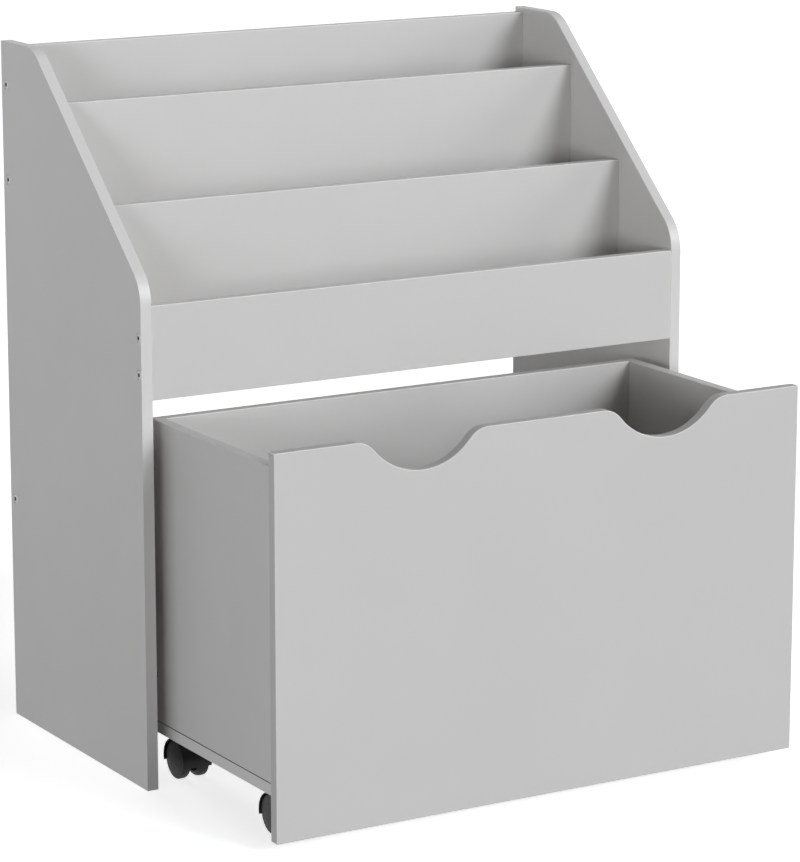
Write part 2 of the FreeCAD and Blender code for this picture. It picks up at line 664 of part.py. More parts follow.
box_bottom = board("box_bottom", ("-box_half", "box_half"), BOX_ALONG, ("caster_height", "floor_top"))
pocket(box_bottom, "dowels", "XZ", "box_start", "box_start + dowel_hole",
       circles(FRONT_DOWELS, "dowel_bore"))
pocket(box_bottom, "pilots", "XY", "caster_height", "plate_foot + wood_screw_length + hole_end_clearance / 2",
       circles(PLATE_SCREWS, "wood_screw_shank_diameter + 2 * fit_clearance"))
countersink(box_bottom, "screws", "XY", "caster_height", BOTTOM_SCREWS, True)

# Connecting screws: a countersunk head with a swell and a hexagon socket, its rim at the height of zero

SOCKET_RADIUS = "screw_socket_width / sqrt(3)"
SOCKET = [(f"{SOCKET_RADIUS} * cos({angle} deg)", f"{SOCKET_RADIUS} * sin({angle} deg)")
          for angle in range(0, 360, 60)]

screw = make_body("connecting_screw")
turn(screw, "shape", "Revolution", "V", outline(
    ("0", "screw_crown_height", "0"),
    ("screw_head_diameter / 2", "0"),
    ("screw_shank_diameter / 2", "(screw_shank_diameter - screw_head_diameter) / 2"),
    ("screw_shank_diameter / 2", "screw_point_length - screw_length"),
    ("0", "-screw_length"),
))
pocket(screw, "socket", "XY", "-socket_depth", "screw_crown_height", outline(*SOCKET))

group("frame_screws", screw,
      [("outer_half - screw_sink_depth", y, z, FACING_RIGHT) for y, z in ALL_SCREWS]
      + [("screw_sink_depth - outer_half", y, z, FACING_LEFT) for y, z in ALL_SCREWS])
group("box_screws", screw,
      [("box_half - screw_sink_depth", "box_back_middle", z, FACING_RIGHT) for z in SIDE_HEIGHTS]
      + [("screw_sink_depth - box_half", "box_back_middle", z, FACING_LEFT) for z in SIDE_HEIGHTS]
      + [(x, y, "caster_height + screw_sink_depth", UPSIDE_DOWN) for x, y in BOTTOM_SCREWS])

# Wooden dowels, from the end in the face of a board at the height of zero upwards

dowel = make_body("wooden_dowel")
pad(dowel, "peg", "XY", "0", "dowel_length", circles([("0", "0")], "dowel_diameter"))

group("frame_dowels", dowel,
      [("dowel_length - inner_half - dowel_seat_depth", y, z, FACING_LEFT) for y, z in ALL_DOWELS]
      + [("inner_half + dowel_seat_depth - dowel_length", y, z, FACING_RIGHT) for y, z in ALL_DOWELS])
group("box_dowels", dowel, [(x, "box_start - dowel_seat_depth", z, FACING_BACK) for x, z in FRONT_DOWELS])

# Cam fittings: a bolt in the box front, whose head each disc in a box side pulls back

cam_bolt = make_body("cam_bolt")
turn(cam_bolt, "shape", "Revolution", "V", outline(
    ("0", "-cam_bolt_seat_depth"),
    ("cam_bolt_diameter / 2", "-cam_bolt_seat_depth"),
    ("cam_bolt_diameter / 2", "cam_inset - cam_diameter / 2 - cam_head_length"),
    ("cam_bolt_neck_diameter / 2", "cam_inset - cam_diameter / 2 - cam_head_length"),
    ("cam_bolt_neck_diameter / 2", "cam_inset - cam_head_length"),
    ("cam_bolt_head_diameter / 2", "cam_inset - cam_head_length"),
    ("cam_bolt_head_diameter / 2", "cam_inset"),
    ("0", "cam_inset"),
))
group("cam_bolts", cam_bolt, [(x, "box_start", z, FACING_BACK) for x, z in CAM_SITES])

cam_disc = make_body("cam_disc")
pad(cam_disc, "disc", "XY", "-cam_depth", "0", circles([("0", "0")], "cam_diameter"))
pocket(cam_disc, "bolt_head", "XZ", "-cam_diameter", "cam_head_length / 2",
       circles([("0", "-board_thickness / 2")], "cam_bolt_head_diameter + 4 * fit_clearance"))
pocket(cam_disc, "slot", "XY", "-cam_slot_width", "0",
       rectangle("-cam_diameter / 3", "cam_diameter / 3", "-cam_slot_width / 2", "cam_slot_width / 2"))
group("cam_discs", cam_disc,
      [("-box_inner", "box_start + cam_inset", z, FACING_RIGHT) for z in SIDE_HEIGHTS]
      + [("box_inner", "box_start + cam_inset", z, FACING_LEFT) for z in SIDE_HEIGHTS])

# Casters: the top plate, kingpin and hood are drawn about the kingpin, above the floor

RIBS = 6


def caster_plate(label, x, y):
    body = make_body(label, x, y)
    half = "plate_width / 2"
    pad(body, "plate", "XY", "plate_foot", "caster_height", rectangle(f"-{half}", half, f"-{half}", half))
    round_edges(body, "corners", "plate_radius",
                lambda edge: near(abs(edge.tangentAt(edge.FirstParameter).z), 1))
    pocket(body, "screw_holes", "XY", "plate_foot", "caster_height",
           circles(PLATE_HOLES, "wood_screw_shank_diameter + 4 * fit_clearance"))
    pocket(body, "rivet_hole", "XY", "plate_foot", "caster_height",
           circles([("0", "0")], "rivet_diameter + 2 * running_clearance"))
    PARTS.append(body)


def caster_kingpin(label, x, y):
    body = make_body(label, x, y)
    pin = "kingpin_diameter / 2"
    turn(body, "pin", "Revolution", "V", outline(
        ("0", "kingpin_end"),
        (pin, "kingpin_end"),
        (pin, "clip_foot"),
        ("clip_inner", "clip_foot"),
        ("clip_inner", "clip_top + clip_clearance"),
        (pin, "clip_top + clip_clearance"),
        (pin, "plate_foot"),
        ("rivet_diameter / 2", "plate_foot"),
        ("rivet_diameter / 2", "caster_height"),
        ("0", "caster_height"),
    ))
    PARTS.append(body)


def hood_outline(sketch):
    """Round roof about the axle, cut off level where its two ends stop above the wheels' feet."""
    centre = spot("caster_trail_length", "wheel_radius")
    radius = value("hood_radius")
    below = math.asin(value("wheel_radius - hood_skirt_height") / radius)
    ring = Part.Circle(centre, FreeCAD.Vector(0, 0, 1), radius)
    roof = sketch.addGeometry(Part.ArcOfCircle(ring, -below, math.pi + below))
    ends = (sketch.getPoint(roof, 2), sketch.getPoint(roof, 1))
    foot = sketch.addGeometry(Part.LineSegment(*ends))
    join(sketch, roof, 2, foot, 1)
    join(sketch, foot, 2, roof, 1)
    hold_point(sketch, roof, 3, "caster_trail_length", "wheel_radius")
    hold(sketch, "Radius", "hood_radius", roof)
    hold(sketch, "DistanceY", "hood_skirt_height", -1, 1, foot, 1)
    sketch.addConstraint(Sketcher.Constraint("Horizontal", foot))


def caster_hood(label, x, y):
    """One moulding: a roof over both wheels, a web between them and a neck for the kingpin."""
    body = make_body(label, x, y)
    axle = [("caster_trail_length", "wheel_radius")]
    middle = [("0", "0")]
    pad(body, "roof", "YZ", "-hood_half", "hood_half", hood_outline)
    pad(body, "neck", "XY", "wheel_radius", "neck_top", circles(middle, "swivel_boss_diameter"))
    pad(body, "axle_boss", "YZ", "-web_half", "web_half", circles(axle, "axle_boss_diameter"))
    well = circles(axle, "2 * well_radius")
    right_well = pocket(body, "well", "YZ", "web_half", "hood_half", well)
    mirror(body, right_well)
    pocket(body, "axle_bore", "YZ", "-web_half", "web_half",
           circles(axle, "axle_diameter + running_clearance"))
    pocket(body, "kingpin_bore", "XY", "kingpin_end - hole_end_clearance", "neck_top",
           circles(middle, "kingpin_diameter + 2 * running_clearance"))
    turn(body, "clip_groove", "Groove", "V", rectangle(
        "0", "clip_outer + clip_clearance", "clip_foot - clip_clearance", "clip_top + 2 * clip_clearance"))
    PARTS.append(body)


def caster_axle(label, x, y):
    body = make_body(label, x, f"{y} + caster_trail_length", "wheel_radius")
    pad(body, "rod", "YZ", "-axle_half", "axle_half", circles([("0", "0")], "axle_diameter"))
    PARTS.append(body)


def caster_wheel(label, x, y, side):
    """A cup with a hub and ribs inside, its closed and swollen face turned outwards."""
    turned = 0 if side > 0 else 180
    across = f"{x} + {side} * wheel_start"
    body = make_body(label, across, f"{y} + caster_trail_length", "wheel_radius", turned)
    turn(body, "cup", "Revolution", "H", outline(
        ("cup_floor", "0"),
        ("wheel_width", "0", "wheel_width - face_radius"),
        ("face_edge", "face_half", "face_edge - wheel_edge_radius"),
        ("face_edge - wheel_edge_radius", "wheel_radius"),
        ("wheel_shoulder_radius", "wheel_radius", "wheel_shoulder_radius"),
        ("0", "wheel_radius - wheel_shoulder_radius"),
        ("0", "cup_radius"),
        ("cup_floor", "cup_radius"),
        ("cup_floor", "wheel_hub_diameter / 2"),
        ("0", "wheel_hub_diameter / 2"),
        ("0", "bore_radius"),
        ("cup_floor", "bore_radius"),
    ))
    rib = pad(body, "rib", "XZ", "-rib_thickness / 2", "rib_thickness / 2", rectangle(
        "rib_inset", "cup_floor + rib_bite_depth",
        "wheel_hub_diameter / 2 - rib_bite_depth", "cup_radius + rib_bite_depth"))
    ribs = body.newObject("PartDesign::PolarPattern", f"{label}_ribs")
    ribs.Originals = [rib]
    ribs.Axis = (next(f for f in body.Origin.OriginFeatures if f.Role == "X_Axis"), [""])
    ribs.Angle = 360
    ribs.Occurrences = RIBS
    body.Tip = ribs
    PARTS.append(body)


for corner, (kingpin_x, kingpin_y) in KINGPINS.items():
    outward = -1 if corner.endswith("left") else 1
    caster_plate(f"{corner}_caster_plate", kingpin_x, kingpin_y)
    caster_kingpin(f"{corner}_caster_kingpin", kingpin_x, kingpin_y)
    caster_hood(f"{corner}_caster_hood", kingpin_x, kingpin_y)
    caster_axle(f"{corner}_caster_axle", kingpin_x, kingpin_y)
    caster_wheel(f"{corner}_outer_wheel", kingpin_x, kingpin_y, outward)
    caster_wheel(f"{corner}_inner_wheel", kingpin_x, kingpin_y, -outward)

# Retaining clips, split rings in the grooves of the kingpins

clip = make_body("kingpin_clip")
pad(clip, "ring", "XY", "0", "clip_thickness", circles([("0", "0")], "2 * clip_outer"))
pocket(clip, "hole", "XY", "0", "clip_thickness",
       circles([("0", "0")], "2 * (clip_inner + running_clearance)"))
pocket(clip, "split", "XY", "0", "clip_thickness",
       rectangle("-clip_width / 2", "clip_width / 2", "0", "2 * clip_outer"))
group("kingpin_clips", clip,
      [(x, y, "clip_foot + clip_clearance / 2", UPRIGHT) for x, y in KINGPINS.values()])

# Wood screws of the top plates, their heads under the plates

wood_screw = make_body("wood_screw")
turn(wood_screw, "shape", "Revolution", "V", outline(
    ("0", "-wood_head_height"),
    ("wood_screw_head_diameter / 3", "-wood_head_height"),
    ("wood_screw_head_diameter / 2", "-wood_head_height / 2"),
    ("wood_screw_head_diameter / 2", "0"),
    ("wood_screw_shank_diameter / 2", "0"),
    ("wood_screw_shank_diameter / 2", "wood_screw_length - screw_point_length"),
    ("0", "wood_screw_length"),
))
group("caster_screws", wood_screw, [(x, y, "plate_foot", UPRIGHT) for x, y in PLATE_SCREWS])

doc.recompute()

CUTS = ("PartDesign::Pocket", "PartDesign::Groove", "PartDesign::Hole")

for item in doc.Objects:
    if "Invalid" in item.State or "Error" in item.State:
        raise RuntimeError(f"{item.Label} failed: {item.State}")
    if item.TypeId in CUTS and item.Shape.Volume >= item.BaseFeature.Shape.Volume - 1e-3:
        raise RuntimeError(f"{item.Label} cuts nothing")
for part in PARTS:
    if part.Shape.isNull() or not part.Shape.isValid():
        raise RuntimeError(f"{part.Label} has no valid shape")

os.makedirs("parts", exist_ok=True)
for part in PARTS:
    part.Shape.exportStep(os.path.join("parts", f"{part.Label}.step"))
    print(part.Label, len(part.Shape.Solids), "solids", round(part.Shape.Volume), "mm3")
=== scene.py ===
# %% [markdown]
# # A toy storage organizer in grey board
#
# The object is a small bookcase for children. Books stand in three stepped pockets with their covers
# to the front, and a toy box rolls out of the bay below on four casters. The frame that is loaded
# here already holds every board, caster and screw at its real size and place. This lesson adds what
# the eye sees: eased board edges, moulded wheels, a finish on every surface, soft light and a camera.

# %% Load the frame
import json
import math

import bmesh
import bpy
from mathutils import Matrix, Vector
from mathutils.geometry import intersect_point_line


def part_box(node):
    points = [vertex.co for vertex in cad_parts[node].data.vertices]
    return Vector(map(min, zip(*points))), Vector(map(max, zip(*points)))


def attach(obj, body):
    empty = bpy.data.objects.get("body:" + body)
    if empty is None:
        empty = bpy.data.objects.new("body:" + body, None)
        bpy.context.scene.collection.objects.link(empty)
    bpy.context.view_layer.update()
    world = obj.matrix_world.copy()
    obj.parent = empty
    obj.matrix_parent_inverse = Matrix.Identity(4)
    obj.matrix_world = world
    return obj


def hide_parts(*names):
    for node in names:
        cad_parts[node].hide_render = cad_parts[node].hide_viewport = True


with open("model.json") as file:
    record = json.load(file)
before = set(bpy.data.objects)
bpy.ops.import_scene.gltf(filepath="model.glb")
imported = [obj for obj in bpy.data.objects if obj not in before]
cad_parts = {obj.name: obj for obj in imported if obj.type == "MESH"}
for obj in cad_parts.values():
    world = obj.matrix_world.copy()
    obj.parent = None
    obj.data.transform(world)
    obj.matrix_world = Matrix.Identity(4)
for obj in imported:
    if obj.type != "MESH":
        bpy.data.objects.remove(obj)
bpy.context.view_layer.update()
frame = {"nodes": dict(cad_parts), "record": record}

record = frame["record"]
body_of = {node: body for body, nodes in record["behaviour"]["bodies"].items() for node in nodes}
slot_of = {part["node"]: part["material_slot"] for part in record["subparts"]}
MM = 0.001

# %% [markdown]
# ## Building finishes from nodes
#
# A finish is a small graph of shader nodes. Writing each node by hand takes many lines, so one helper
# adds a node, sets its options and fills its inputs. An input that is itself a socket gets a link, and
# anything else becomes the value of that input. Three smaller helpers do sums and write colours.

# %% Helpers for shader nodes
def add_node(tree, kind, options=None, inputs=None):
    node = tree.nodes.new(kind)
    for option, choice in (options or {}).items():
        setattr(node, option, choice)
    for key, given in (inputs or {}).items():
        if isinstance(given, bpy.types.NodeSocket):
            tree.links.new(given, node.inputs[key])
        else:
            node.inputs[key].default_value = given
    return node


def calculate(tree, operation, first, second):
    return add_node(tree, "ShaderNodeMath", {"operation": operation}, {0: first, 1: second}).outputs[0]


def tinted(level, tint):
    return tuple(level * part for part in tint) + (1.0,)


def grey(level):
    return (level, level, level, 1.0)


print("node helpers ready, middle grey is", grey(0.5))

# %% [markdown]
# ## Three effects that several finishes share
#
# Paint, nylon and zinc all have a skin that isn't quite even. What they share goes into node groups,
# which are built once and placed in each material with its own values. The first is the fine ripple of
# a sprayed or moulded skin, as a height: a broad noise with a little of a finer one on top.

# %% Skin ripple
def new_group(name, inputs, output):
    """Start a node group, and give back its tree, what goes into it and where its result goes."""
    tree = bpy.data.node_groups.new(name, "ShaderNodeTree")
    tree.interface.new_socket("Vector", in_out="INPUT", socket_type="NodeSocketVector")
    for label, start in inputs.items():
        socket = tree.interface.new_socket(label, in_out="INPUT", socket_type="NodeSocketFloat")
        socket.default_value = start
    tree.interface.new_socket(output, in_out="OUTPUT", socket_type="NodeSocketFloat")
    given = tree.nodes.new("NodeGroupInput").outputs
    result = tree.nodes.new("NodeGroupOutput").inputs[output]
    return tree, given, result


FINER = 3.1
GRAIN_SHARE = 0.3


def make_ripple():
    tree, given, result = new_group("skin_ripple", {"Scale": 700.0}, "Height")
    broad = add_node(tree, "ShaderNodeTexNoise", inputs={
        "Vector": given["Vector"], "Scale": given["Scale"], "Detail": 2.0, "Roughness": 0.45})
    finer = calculate(tree, "MULTIPLY", given["Scale"], FINER)
    grain = add_node(tree, "ShaderNodeTexNoise", inputs={
        "Vector": given["Vector"], "Scale": finer, "Detail": 1.0})
    small = calculate(tree, "MULTIPLY", grain.outputs[0], GRAIN_SHARE)
    tree.links.new(calculate(tree, "ADD", broad.outputs[0], small), result)
    return tree


RIPPLE = make_ripple()
print("made", RIPPLE.name)

# %% [markdown]
# The second effect is a slow, cloudy change from one value to another, for tone and gloss, which are
# never the same all over a real surface. A noise seldom leaves the middle of its range, so that middle
# is stretched over the two values.

# %% Slow clouds
def make_clouds():
    tree, given, result = new_group("slow_clouds", {"Scale": 6.0, "Low": 0.0, "High": 1.0}, "Value")
    noise = add_node(tree, "ShaderNodeTexNoise", inputs={
        "Vector": given["Vector"], "Scale": given["Scale"], "Detail": 4.0, "Roughness": 0.55})
    spread = add_node(tree, "ShaderNodeMapRange", inputs={
        "Value": noise.outputs[0], "From Min": 0.3, "From Max": 0.7,
        "To Min": given["Low"], "To Max": given["High"]})
    tree.links.new(spread.outputs["Result"], result)
    return tree


CLOUDS = make_clouds()
print("made", CLOUDS.name)

# %% [markdown]
# The third effect is a painted highlight: it lightens the rounded edges, where a line of light falls.
# The shader's own measure of edges, Pointiness, needs a dense mesh, so the faces of each rounded edge
# carry a mark, and the group reads that mark and breaks it up with a noise.

# %% Edge rub
EDGE_MARK = "eased_edge"


def make_painted_edge_highlight():
    tree, given, result = new_group("painted_edge_highlight", {"Amount": 0.5}, "Mask")
    # The mark of the rounded faces, broken up by a noise, says where the painted highlight lies.
    mark = add_node(tree, "ShaderNodeAttribute", {"attribute_name": EDGE_MARK})
    patchy = add_node(tree, "ShaderNodeTexNoise", inputs={
        "Vector": given["Vector"], "Scale": 55.0, "Detail": 3.0})
    broken_up = add_node(tree, "ShaderNodeMapRange", inputs={
        "Value": patchy.outputs[0], "From Min": 0.3, "From Max": 0.65, "To Min": 0.45, "To Max": 1.0})
    here = calculate(tree, "MULTIPLY", mark.outputs["Fac"], broken_up.outputs["Result"])
    tree.links.new(calculate(tree, "MULTIPLY", here, given["Amount"]), result)
    return tree


PAINTED_EDGE_HIGHLIGHT = make_painted_edge_highlight()
print("made", PAINTED_EDGE_HIGHLIGHT.name)

# %% [markdown]
# ## The grey board finish
#
# The boards have a light grey satin skin. A flat grey would look like bare plastic, so the tone drifts
# by a percent or two over a hand's width, the gloss drifts in smaller patches, and a ripple about a
# millimetre across breaks up reflections as a sprayed coat does. Three marks on the faces change the
# tone: the narrow faces are a shade lighter, and darker on the box front, the rounded edges carry a
# painted highlight, lighter still, and the hairline between the bottom of the box and its sides is
# painted shade, near black like the shadow in a gap.

# %% Helpers for materials
def start_material(name):
    material = bpy.data.materials.new(name)
    material.use_nodes = True
    tree = material.node_tree
    tree.nodes.clear()
    place = add_node(tree, "ShaderNodeTexCoord").outputs["Object"]
    shader = add_node(tree, "ShaderNodeBsdfPrincipled")
    add_node(tree, "ShaderNodeOutputMaterial", inputs={"Surface": shader.outputs[0]})
    return material, tree, place, shader


def use(tree, group, **inputs):
    return add_node(tree, "ShaderNodeGroup", {"node_tree": group}, inputs).outputs[0]


def mix_colours(tree, factor, first, second):
    options = {"data_type": "RGBA", "blend_type": "MIX"}
    return add_node(tree, "ShaderNodeMix", options, {0: factor, 6: first, 7: second}).outputs[2]


def set_bump(tree, shader, height, distance):
    bump = add_node(tree, "ShaderNodeBump", inputs={
        "Height": height, "Distance": distance, "Strength": 1.0})
    tree.links.new(bump.outputs[0], shader.inputs["Normal"])


print("material helpers ready, effects to use:", len(bpy.data.node_groups))

# %% Grey board
BOARD_GREY = 0.54
TONE_DRIFT = 0.015
BAND_GREY = 0.60
# The lighter grey of the painted highlight on the rounded edges.
HIGHLIGHT_GREY = 0.68
# The near black of the painted shade in the hairline where the box sides stand on its bottom.
JOINT_SHADE_GREY = 0.03
WARM_TINT = (1.02, 1.0, 0.965)
COAT_RIPPLE = 0.02 * MM
BAND_MARK = "edge_band"
DARKENING_MARK = "painted_joint_shade_and_darker_edges"


def warm(level):
    return tinted(level, WARM_TINT)


def make_grey_board():
    material, tree, place, shader = start_material("grey_board")
    tone = use(tree, CLOUDS, Vector=place, Scale=5.0, Low=0.0, High=1.0)
    darker = warm(BOARD_GREY * (1.0 - TONE_DRIFT))
    lighter = warm(BOARD_GREY * (1.0 + TONE_DRIFT))
    coat = mix_colours(tree, tone, darker, lighter)
    band = add_node(tree, "ShaderNodeAttribute", {"attribute_name": BAND_MARK}).outputs["Fac"]
    coat = mix_colours(tree, band, coat, warm(BAND_GREY))
    # Painted highlight: the rounded edges turn lighter, standing in for the line of light along them.
    highlight = use(tree, PAINTED_EDGE_HIGHLIGHT, Vector=place, Amount=1.0)
    coat = mix_colours(tree, highlight, coat, warm(HIGHLIGHT_GREY))
    # Painted shade: the hairline at the box joint turns near black, like the shadow in a gap. The same
    # mark darkens the narrow faces of the box front a fifth of the way.
    joint = add_node(tree, "ShaderNodeAttribute", {"attribute_name": DARKENING_MARK}).outputs["Fac"]
    tree.links.new(mix_colours(tree, joint, coat, warm(JOINT_SHADE_GREY)), shader.inputs["Base Color"])
    gloss = use(tree, CLOUDS, Vector=place, Scale=22.0, Low=0.40, High=0.48)
    tree.links.new(gloss, shader.inputs["Roughness"])
    set_bump(tree, shader, use(tree, RIPPLE, Vector=place, Scale=650.0), COAT_RIPPLE)
    return material


FINISH = {"grey_paint": make_grey_board()}
print("made", FINISH["grey_paint"].name)

# %% [markdown]
# ## Metal, nylon and beech
#
# The screws, plates and axles are zinc plated, so they are metallic with a faint cloudy gloss. The
# discs of the cam fittings are cast, which is the same metal with a duller, lumpier skin, so one
# function makes both.

# %% Zinc
ZINC_TINT = (0.97, 0.98, 1.0)
ZINC_DULL = 0.88
ZINC_RIPPLE = 0.008 * MM


def make_zinc(name, level, smooth, rough, ripple):
    material, tree, place, shader = start_material(name)
    shader.inputs["Metallic"].default_value = 1.0
    tone = use(tree, CLOUDS, Vector=place, Scale=160.0, Low=0.0, High=1.0)
    colour = mix_colours(tree, tone, tinted(level, ZINC_TINT), grey(level * ZINC_DULL))
    tree.links.new(colour, shader.inputs["Base Color"])
    gloss = use(tree, CLOUDS, Vector=place, Scale=420.0, Low=smooth, High=rough)
    tree.links.new(gloss, shader.inputs["Roughness"])
    set_bump(tree, shader, use(tree, RIPPLE, Vector=place, Scale=ripple), ZINC_RIPPLE)
    return material


FINISH["zinc_steel"] = make_zinc("bright_zinc", level=0.42, smooth=0.20, rough=0.32, ripple=900.0)
FINISH["zinc_cast"] = make_zinc("cast_zinc", level=0.50, smooth=0.42, rough=0.58, ripple=500.0)
print("made", FINISH["zinc_steel"].name, "and", FINISH["zinc_cast"].name)

# %% [markdown]
# The hoods and wheels of the casters are moulded black nylon with a fine grain, and the wheels pick up
# a little grey dust from the floor. A pure black would show no form at all, so the nylon keeps a
# trace of grey and a weak shine.

# %% Nylon
NYLON_BLACK = 0.012
DUST_GREY = 0.055
NYLON_SHINE = 0.25
NYLON_GRAIN = 0.02 * MM


def make_nylon(name, smooth, rough, dust):
    material, tree, place, shader = start_material(name)
    shader.inputs["Specular IOR Level"].default_value = NYLON_SHINE
    dusty = use(tree, CLOUDS, Vector=place, Scale=95.0, Low=0.0, High=dust)
    colour = mix_colours(tree, dusty, grey(NYLON_BLACK), grey(DUST_GREY))
    tree.links.new(colour, shader.inputs["Base Color"])
    gloss = use(tree, CLOUDS, Vector=place, Scale=300.0, Low=smooth, High=rough)
    tree.links.new(gloss, shader.inputs["Roughness"])
    set_bump(tree, shader, use(tree, RIPPLE, Vector=place, Scale=2200.0), NYLON_GRAIN)
    return material


FINISH["black_nylon"] = make_nylon("black_nylon", smooth=0.38, rough=0.50, dust=0.10)
FINISH["black_tread"] = make_nylon("black_tread", smooth=0.40, rough=0.56, dust=0.35)
print("made", FINISH["black_nylon"].name, "and", FINISH["black_tread"].name)

# %% [markdown]
# The dowels are turned beech. A noise that is stretched along the pegs of the bookcase, which lie
# across it, gives their fine growth lines.

# %% Beech
BEECH_DARK = (0.50, 0.33, 0.19, 1.0)
BEECH_LIGHT = (0.70, 0.52, 0.34, 1.0)
BEECH_STRETCH = (60.0, 900.0, 900.0)
BEECH_ROUGH = 0.6
BEECH_LINE = 0.03 * MM


def make_beech():
    material, tree, place, shader = start_material("turned_beech")
    along = add_node(tree, "ShaderNodeMapping", inputs={"Vector": place, "Scale": BEECH_STRETCH})
    lines = add_node(tree, "ShaderNodeTexNoise", inputs={
        "Vector": along.outputs[0], "Scale": 1.0, "Detail": 3.0, "Distortion": 0.4})
    colour = mix_colours(tree, lines.outputs[0], BEECH_DARK, BEECH_LIGHT)
    tree.links.new(colour, shader.inputs["Base Color"])
    shader.inputs["Roughness"].default_value = BEECH_ROUGH
    set_bump(tree, shader, lines.outputs[0], BEECH_LINE)
    return material


FINISH["beech"] = make_beech()
print("finishes:", ", ".join(sorted(FINISH)))

# %% [markdown]
# ## Copies of the frame's parts
#
# Every board and fitting starts from a part of the frame, whose mesh is loose triangles. That mesh
# stays as it is. A copy has its triangles joined at their corners and merged into flat faces, so that
# an edge of a board is one edge of the mesh, which an operator can take hold of. The marks for the
# finishes get their layers here, because a new layer would make bmesh lose hold of its faces later. A
# finished copy rides on the body of the part that it stands in for.

# %% Copies and pieces
SAME_SPOT = 0.002 * MM
FLAT = math.radians(0.6)


def merged_copy(node):
    bm = bmesh.new()
    bm.from_mesh(frame["nodes"][node].data)
    bmesh.ops.remove_doubles(bm, verts=bm.verts, dist=SAME_SPOT)
    bmesh.ops.dissolve_limit(bm, angle_limit=FLAT, verts=bm.verts, edges=bm.edges)
    for mark in (EDGE_MARK, BAND_MARK, DARKENING_MARK):
        bm.faces.layers.float.new(mark)
    return bm


def place_piece(name, bm, node):
    """Make the mesh an object that stands in for this part of the frame."""
    mesh = bpy.data.meshes.new(name)
    bm.to_mesh(mesh)
    bm.free()
    slot = slot_of[node]
    mesh.materials.append(FINISH[slot])
    piece = bpy.data.objects.new(name, mesh)
    bpy.context.scene.collection.objects.link(piece)
    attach(piece, body_of[node])
    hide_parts(node)
    return piece


print("parts to stand in for:", len(slot_of))

# %% [markdown]
# ## Easing the edges
#
# No board has a knife edge: the coat is sanded over a radius of about a millimetre, and that narrow
# band catches a line of light. A bevel modifier would round the rims of the drilled holes as well, so
# the bevel here is an operator on chosen edges: those that are sharp, point outwards and are longer
# than the short steps of a rim. The new faces carry the mark that the finish reads for its painted
# highlight, and weighted normals keep the wide faces flat while the bevel turns smoothly between them.

# %% Eased edges
SHARP = math.radians(32)


def sharp_edges(bm):
    return [edge for edge in bm.edges if len(edge.link_faces) == 2 and edge.calc_face_angle() > SHARP]


def outer_edges(bm, least_edge):
    return [edge for edge in sharp_edges(bm) if edge.is_convex and edge.calc_length() > least_edge]


def ease(bm, edges, radius, segments):
    """Round these edges, and give back the faces that this makes."""
    mark = bm.faces.layers.float[EDGE_MARK]
    made = bmesh.ops.bevel(bm, geom=edges, offset=radius, segments=segments, profile=0.5,
                           affect="EDGES", material=-1, clamp_overlap=True)["faces"]
    # The new faces drop any other mark and take the one for the painted highlight on rounded edges.
    for face in made:
        for layer in bm.faces.layers.float.values():
            face[layer] = 0.0
        face[mark] = 1.0
    return made


def finish_piece(node, name, bm):
    """Shade the roundings smoothly, keep the corners that are left sharp, and place the piece."""
    for edge in sharp_edges(bm):
        edge.smooth = False
    for face in bm.faces:
        face.smooth = True
    piece = place_piece(name, bm, node)
    even = piece.modifiers.new("even_normals", "WEIGHTED_NORMAL")
    even.keep_sharp = True
    print(piece.name, len(piece.data.polygons), "faces")


print("an edge counts as sharp above", round(math.degrees(SHARP)), "degrees")

# %% [markdown]
# ## Boards
#
# The bookcase and the box are made of flat board. Its narrow faces are a shade lighter, and darker on
# the box front, and a hairline of painted shade shows where the sides of the box stand on its bottom.
# A material could find both by their place, but it would need the size of every board, so each is a
# mark on the faces that have it: the band before the edges are rounded, and the hairline on the
# rounded faces that meet at the joint.

# %% Marks on the boards
EDGE_RADIUS = 0.8 * MM
JOINT_REACH = 1.1 * EDGE_RADIUS
BOX_FRONT_SHADE = 0.2
SIDEWAYS = 0.5
JOINT_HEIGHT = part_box("box_bottom")[1][2]
JOINED = ("box_left_side", "box_right_side", "box_back", "box_bottom")


def mark_bands(bm, node):
    """Mark the narrow faces of a board, whose thickness runs along its shortest side."""
    low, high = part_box(node)
    sides = [high[axis] - low[axis] for axis in range(3)]
    through = sides.index(min(sides))
    # The box front's narrow faces go a fifth of the way to the near black of the hairline's painted
    # shade, and those of the other boards take the lighter band.
    mark, share = (DARKENING_MARK, BOX_FRONT_SHADE) if node == "box_front" else (BAND_MARK, 1.0)
    layer = bm.faces.layers.float[mark]
    for face in bm.faces:
        if abs(face.normal[through]) < SIDEWAYS:
            face[layer] = share


def mark_joint_shade(bm, rounded):
    """Mark the rounded faces that meet where the sides of the box stand on its bottom, for the
    hairline of painted shade.
    """
    joint = bm.faces.layers.float[DARKENING_MARK]
    for face in rounded:
        if all(abs(vert.co.z - JOINT_HEIGHT) < JOINT_REACH for vert in face.verts):
            face[joint] = 1.0


print("the box sides stand on the bottom at", round(JOINT_HEIGHT / MM, 2), "mm")

# %% [markdown]
# A few screws sit so close to the edge of a board that the rounding would run into their holes and
# fold the face over. A second, narrower bevel for those edges would hold the wide one back to its own
# width, so the bevel is the same everywhere, and beside such a hole its points are then drawn back
# towards the edge, on the side of the hole only.

# %% Room beside the holes
HOLE_RIM = 2.0 * MM
ROOM_REACH = 1.05 * EDGE_RADIUS
END_SLACK = 0.001
CROWDED_SHARE = 0.18


